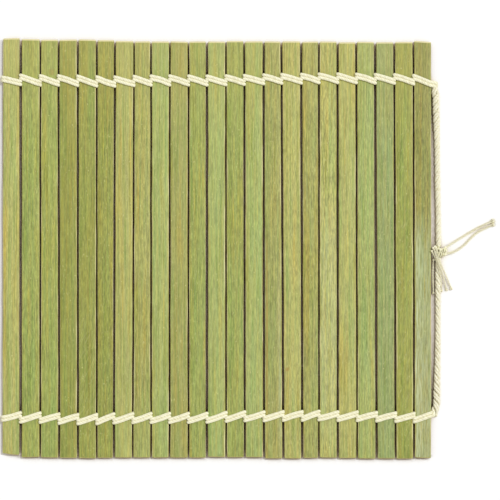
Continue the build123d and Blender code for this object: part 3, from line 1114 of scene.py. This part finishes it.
def slat(index):
    """One bamboo slat: split edges that wander, bevels of its own width, and sawn ends."""
    name = f"slat_{index:02d}"
    low, high = (np.array(corner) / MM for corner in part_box(name))
    low[1] -= near_end_extras[index - 1]
    high[1] += far_end_extras[index - 1]
    rng = seeded(9, index)
    centre = (low[0] + high[0]) / 2
    half = (high[0] - low[0]) / 2 + 0.03
    left = widest_bevel * left_bevel_shares[index - 1]
    right = widest_bevel * right_bevel_shares[index - 1]
    section = slat_section(half, left, right)
    count = len(section)
    body = np.linspace(low[1] + body_margin, high[1] - body_margin, body_rings)
    stations = np.concatenate([low[1] + end_rings, body, high[1] - end_rings[::-1]])
    inset = np.concatenate([end_insets, np.zeros(body_rings), end_insets[::-1]])
    edge_left = smooth_noise(rng, stations, 21.0) * 0.08 + smooth_noise(rng, stations, 5.0) * 0.03
    edge_right = smooth_noise(rng, stations, 24.0) * 0.08 + smooth_noise(rng, stations, 6.0) * 0.03
    bevel_wander = smooth_noise(rng, stations, 9.0) * 0.12
    rise = smooth_noise(rng, stations, 30.0) * 0.04
    near_lean = most_lean * near_lean_shares[index - 1]
    far_lean = most_lean * far_lean_shares[index - 1]
    mid = (slat_top + slat_underside) / 2
    points = []
    for i, y in enumerate(stations):
        left_shift, right_shift = edge_shifts(index, y)
        near_share = np.clip((low[1] + lean_length - y) / lean_length, 0, 1)
        far_share = np.clip((y - high[1] + lean_length) / lean_length, 0, 1)
        for x, z, material in section:
            across = x / half
            shift = edge_left[i] * max(0, -across) + edge_right[i] * max(0, across)
            shift += left_shift * (1 - across) / 2 + right_shift * (1 + across) / 2
            if material == 0 or (material == 1 and z > slat_top - crown - 0.3 and abs(across) < 0.99):
                shift += bevel_wander[i] * (1 if across < 0 else -1) * (abs(across) > 0.8)
            new_z = mid + (z - mid) * (1 - inset[i] / inset_depth)
            if z > mid:
                new_z += rise[i] * (1 - across * across)
            new_y = y + near_share * abs(near_lean) * (1 - across * np.sign(near_lean)) / 2
            new_y -= far_share * abs(far_lean) * (1 - across * np.sign(far_lean)) / 2
            points.append((centre + x * (1 - inset[i] / half) + shift, new_y, new_z))
    points = np.array(points)
    if index == 1:
        chip = np.clip((low[1] + chip_length - points[:, 1]) / chip_length, 0, 1)
        chip = chip * np.clip((centre - chip_from_middle - points[:, 0]) / chip_width, 0, 1)
        points[:, 1] += chip_depth * chip
    faces = []
    kinds = []
    for i in range(len(stations) - 1):
        for j in range(count):
            k = (j + 1) % count
            faces.append((i * count + j, i * count + k, (i + 1) * count + k, (i + 1) * count + j))
            sawn = i < sawn_rings or i >= len(stations) - 2 * sawn_rings
            kinds.append(3 if sawn else section[j][2])
    middle = len(points)
    last = middle - count
    points = np.vstack([points, points[:count].mean(0), points[-count:].mean(0)])
    for j in range(count):
        k = (j + 1) % count
        faces += [(k, j, middle), (last + j, last + k, middle + 1)]
        kinds += [3, 3]
    total = len(points)
    tone = linear(tones[slat_tones[index - 1]]) * slat_shades[index - 1] * tone_level
    seed = rng.uniform(0, 900, 3)
    wear = slat_wear(index, points, centre, half)
    attributes = [
        ("slat_tone", "FLOAT_COLOR", np.tile([*tone, rng.uniform(0.9, 1.8)], (total, 1))),
        ("slat_seed", "FLOAT_VECTOR", np.tile(seed, (total, 1))),
        ("slat_wear", "FLOAT_VECTOR", wear),
    ]
    materials = [skin, edge, inner, end_grain]
    piece = mesh_piece(f"bamboo_{index:02d}", points, faces, materials, kinds, attributes)
    piece.data.set_sharp_from_angle(angle=math.radians(38))
    return on_body(piece, f"strip_{index:02d}", "bamboo", name)


def spot(across, along, centre, size):
    """1 in the middle of a small mark, fading to 0 at its rim."""
    apart = ((across - centre[0]) / size[0]) ** 2 + ((along - centre[1]) / size[1]) ** 2
    return np.clip(1.3 - apart, 0, 1)


def slat_wear(index, points, centre, half):
    """How peeled, waxy and scratched a slat is at each point, as the photograph shows it."""
    across = (points[:, 0] - centre) / half
    along = points[:, 1]
    peel = np.zeros(len(points))
    wax = np.zeros(len(points))
    scratched = np.zeros(len(points))
    if index in brown_marks:
        strength, middle, size = brown_marks[index]
        peel = strength * spot(across, along, middle, size)
    if index == 15:
        peel = 0.75 * np.clip(1.6 - abs(across + 0.72) * 7, 0, 1) * band(along, -100, 12, 24)
        wax = 0.5 * np.clip(across * 2 - 0.9, 0, 1) * band(along, -118, -18, 24)
    if index == 23:
        wax = 0.8 * band(along, -140, 12, 26) * (0.5 + 0.5 * np.clip(-across + 0.2, 0, 1))
    if index == 18:
        wax = 0.22 * band(along, -100, 20, 30)
    if index == 5:
        scratched = band(along, -110, -40, 12)
    if index == 22:
        scratched = 0.8 * band(along, -112, 70, 15)
    return np.stack([peel, wax, scratched], axis=1)


def band(places, low, high, fade):
    """1 between two places, fading to 0 outside them."""
    rise = np.clip((places - low) / fade + 0.5, 0, 1)
    fall = np.clip((high - places) / fade + 0.5, 0, 1)
    return rise * fall


# Floor, light and background
def add_lamp(name, azimuth, height, strength):
    """A soft far lamp that shines on the mat from this azimuth and elevation, in degrees."""
    light = bpy.data.lights.new(name, "SUN")
    light.angle = math.radians(lamp_angle)
    light.energy = strength
    light.color = (0.97, 1.0, 1.07)
    lamp = bpy.data.objects.new(name, light)
    around, elevation = math.radians(azimuth), math.radians(height)
    lamp.location = (
        math.cos(elevation) * math.cos(around), math.cos(elevation) * math.sin(around), math.sin(elevation),
    )
    lamp.rotation_euler = lamp.location.to_track_quat("Z", "Y").to_euler()
    bpy.context.scene.collection.objects.link(lamp)


def make_stage():
    """A pale floor with painted shade in the gaps, near the mat and beyond its near ends and painted light at
    the far ends of the gaps, soft lamps from the right and the far right, and a plain world.
    """
    size = 4.0
    mesh = bpy.data.meshes.new("floor")
    corners = [(-size, -size, 0), (size, -size, 0), (size, size, 0), (-size, size, 0)]
    mesh.from_pydata(corners, [], [(0, 1, 2, 3)])
    floor = bpy.data.objects.new("floor", mesh)
    floor.location.z = -0.00002
    bpy.context.scene.collection.objects.link(floor)
    s = Shader("floor")
    open_share = s.node("ShaderNodeAmbientOcclusion", {"Distance": 0.012}, samples=8).outputs["AO"]
    # Painted light: near the far ends of the slats the floor in the gaps is spared the painted shade, as if
    # lit from the far side
    painted_light_far_ends = s.span(s.parts(s.place())[1], 0.1165, 0.119)
    # Painted shade: the floor is tinted warm and darker where ambient occlusion finds the mat or cords nearby
    shaded = s.mix(s.span(open_share, 0.3, 0.66), (232, 216, 194), (255, 255, 255))
    # Painted shade: where ambient occlusion is low, in the narrow gaps under the slats, the floor turns dark
    # brown
    painted_floor_shade = s.mix(s.math("MAXIMUM", s.span(open_share, 0.15, 0.34), painted_light_far_ends), (46, 42, 8), shaded)
    # Painted shadow: a dark line on the floor just beyond the near ends of the slats
    near_end = s.span(s.parts(s.place())[1], -0.1175, -0.119)
    line = s.math("MULTIPLY", near_end, s.span(open_share, 0.7, 0.6))
    painted_floor_shade = s.mix(line, painted_floor_shade, (188, 176, 158), "MULTIPLY")
    seen_floor_with_painted_shade = s.node("ShaderNodeBsdfDiffuse", {"Color": painted_floor_shade})
    pale = s.node("ShaderNodeBsdfDiffuse", {"Color": (0.72, 0.71, 0.69, 1)})
    shown_and_lit = (seen_directly(s.tree), pale.outputs[0], seen_floor_with_painted_shade.outputs[0])
    mixed = s.node("ShaderNodeMixShader", dict(enumerate(shown_and_lit)))
    output = s.tree.nodes["Material Output"]
    s.tree.nodes.remove(s.surface)
    s.tree.links.new(mixed.outputs[0], output.inputs["Surface"])
    mesh.materials.append(s.material)

    for name, (azimuth, height, strength) in lamps.items():
        add_lamp(name, azimuth, height, strength)

    world = bpy.data.worlds.new("world")
    bpy.context.scene.world = world
    world.use_nodes = True
    tree = world.node_tree
    lit = tree.nodes["Background"]
    lit.inputs["Color"].default_value = (1.0, 0.965, 0.9, 1)
    lit.inputs["Strength"].default_value = 0.58
    shown = tree.nodes.new("ShaderNodeBackground")
    shown.inputs["Color"].default_value = (1.0, 1.0, 1.0, 1)
    both = tree.nodes.new("ShaderNodeMixShader")
    tree.links.new(seen_directly(tree), both.inputs[0])
    tree.links.new(lit.outputs[0], both.inputs[1])
    tree.links.new(shown.outputs[0], both.inputs[2])
    tree.links.new(both.outputs[0], tree.nodes["World Output"].inputs["Surface"])
    bpy.context.scene.view_settings.view_transform = "Standard"


def seen_directly(tree):
    """1 for what the camera sees, straight or by gloss or glass, and 0 for what only gives light."""
    path = tree.nodes.new("ShaderNodeLightPath").outputs
    share = path["Is Camera Ray"]
    for other in ("Is Glossy Ray", "Is Transmission Ray"):
        larger = tree.nodes.new("ShaderNodeMath")
        larger.operation = "MAXIMUM"
        tree.links.new(share, larger.inputs[0])
        tree.links.new(path[other], larger.inputs[1])
        share = larger.outputs[0]
    return share


def dress_cords():
    """The edge cords, tails and knot. Gives back where each edge cord's strands start."""
    knot = knot_wraps()
    frayed = frayed_tail()
    short, _ = free_tail(
        "short_tail", short_tail_route, short_tail_ply_radius, short_tail_lead, 600, short_tail_end,
    )
    starts = []
    for name, points, hand, seed, goes_with in (
        ("edge_cord_upper", upper_cord_route, 1, 100, [knot, frayed]),
        ("edge_cord_lower", lower_cord_route, -1, 200, [short]),
    ):
        start = (cord_start[0], cord_start[1] * hand, cord_start[2])
        piece, line, strand_starts = edge_cord(name, [start] + points, hand, seed)
        starts.append(strand_starts)
    for name, points, seed in (
        ("long_tail_upper", long_tail_upper_route, 300),
        ("long_tail_lower", long_tail_lower_route, 400),
    ):
        piece, line = free_tail(name, points, tail_ply_radius, tail_lead, seed, long_tail_end)
    return starts


make_camera()
make_stage()
for row, rope_starts in enumerate(dress_cords()):
    first_fold(row)
    last_run(row, rope_starts)
    for gap in range(1, slat_count):
        gap_stitches(row, gap)
for number in range(1, slat_count + 1):
    slat(number)
